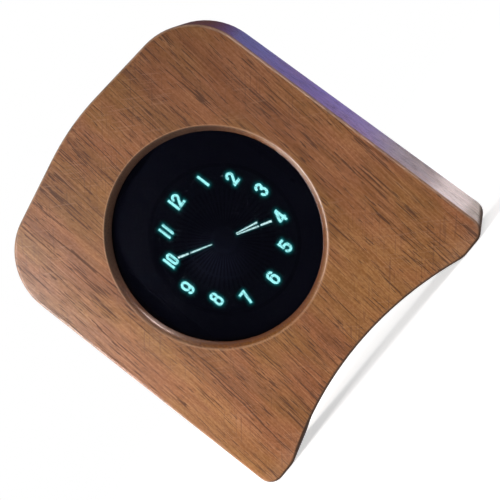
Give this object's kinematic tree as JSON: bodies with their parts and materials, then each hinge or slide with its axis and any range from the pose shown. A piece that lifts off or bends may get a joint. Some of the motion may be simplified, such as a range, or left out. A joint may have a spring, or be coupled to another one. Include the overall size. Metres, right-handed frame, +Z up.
{
  "type": "vacuum fluorescent clock",
  "caption": "Free-standing wooden table clock: slab case with arched foot, round smoked window, glowing segment dial, rear cover and push buttons.",
  "frame": {"origin": "middle of the footprint, on the table under the two feet", "axes": "+Z up, front of the clock towards -Y, +X to the right of a person who faces the dial"},
  "size_m": [0.1046, 0.0282, 0.1147],
  "materials": {
    "walnut": "satin varnish over fine open pores",
    "smoked_lens": "polished, smoked",
    "gasket": "matte",
    "cover_plastic": "fine moulded grain",
    "black_screw": "black oxide",
    "tube_glass": "clear polished",
    "base_glass": "black insulating coat",
    "phosphor_off": "matte powder",
    "phosphor_lit": "glowing powder",
    "grid_metal": "etched",
    "wire_metal": "drawn",
    "tinned_metal": "tinned",
    "foam": "closed cell",
    "board": "solder mask",
    "nylon": "turned",
    "steel_screw": "zinc plated",
    "chip_plastic": "moulded",
    "cell_metal": "spun",
    "holder_plastic": "moulded",
    "ferrite": "sintered",
    "can_aluminium": "drawn",
    "chip_ceramic": "fired",
    "socket_steel": "plated",
    "button_plastic": "satin moulded"
  },
  "bodies": {
    "clock": {"wood_case": "walnut", "lens_gasket": "gasket", "lens": "smoked_lens", "rear_cover": "cover_plastic", "cover_screws": "black_screw", "tube_front_glass": "tube_glass", "tube_side_glass": "tube_glass", "tube_base_plate": "base_glass", "exhaust_tip": "tube_glass", "tube_leads": "tinned_metal", "getter": "grid_metal", "inner_segments_unlit": "phosphor_off", "outer_segments_unlit": "phosphor_off", "inner_segments_lit": "phosphor_lit", "outer_segments_lit": "phosphor_lit", "control_grid": "grid_metal", "filament_wires": "wire_metal", "filament_anchor": "wire_metal", "filament_springs": "wire_metal", "foam_pads": "foam", "main_board": "board", "board_spacers": "nylon", "board_screws": "steel_screw", "microcontroller": "chip_plastic", "driver_chips": "chip_plastic", "clock_chip": "chip_plastic", "chip_legs": "tinned_metal", "crystal": "can_aluminium", "cell_holder": "holder_plastic", "coin_cell": "cell_metal", "cell_clip": "cell_metal", "boost_inductor": "ferrite", "capacitor_cans": "can_aluminium", "capacitor_bases": "holder_plastic", "chip_capacitors": "chip_ceramic", "chip_resistors": "chip_plastic", "usb_shell": "socket_steel", "usb_tongue": "holder_plastic", "switch_bodies": "holder_plastic"},
    "left_button": {"button_left": "button_plastic", "switch_plunger_left": "nylon"},
    "middle_button": {"button_middle": "button_plastic", "switch_plunger_middle": "nylon"},
    "right_button": {"button_right": "button_plastic", "switch_plunger_right": "nylon"}
  },
  "joints": [
    {"name": "left_button_press", "type": "slide", "parent": "clock", "child": "left_button", "axis": [0, -1, 0], "range_m": [0, 0.0003], "stiffness_N_per_m": 4000},
    {"name": "middle_button_press", "type": "slide", "parent": "clock", "child": "middle_button", "axis": [0, -1, 0], "range_m": [0, 0.0003], "stiffness_N_per_m": 4000},
    {"name": "right_button_press", "type": "slide", "parent": "clock", "child": "right_button", "axis": [0, -1, 0], "range_m": [0, 0.0003], "stiffness_N_per_m": 4000}
  ]
}
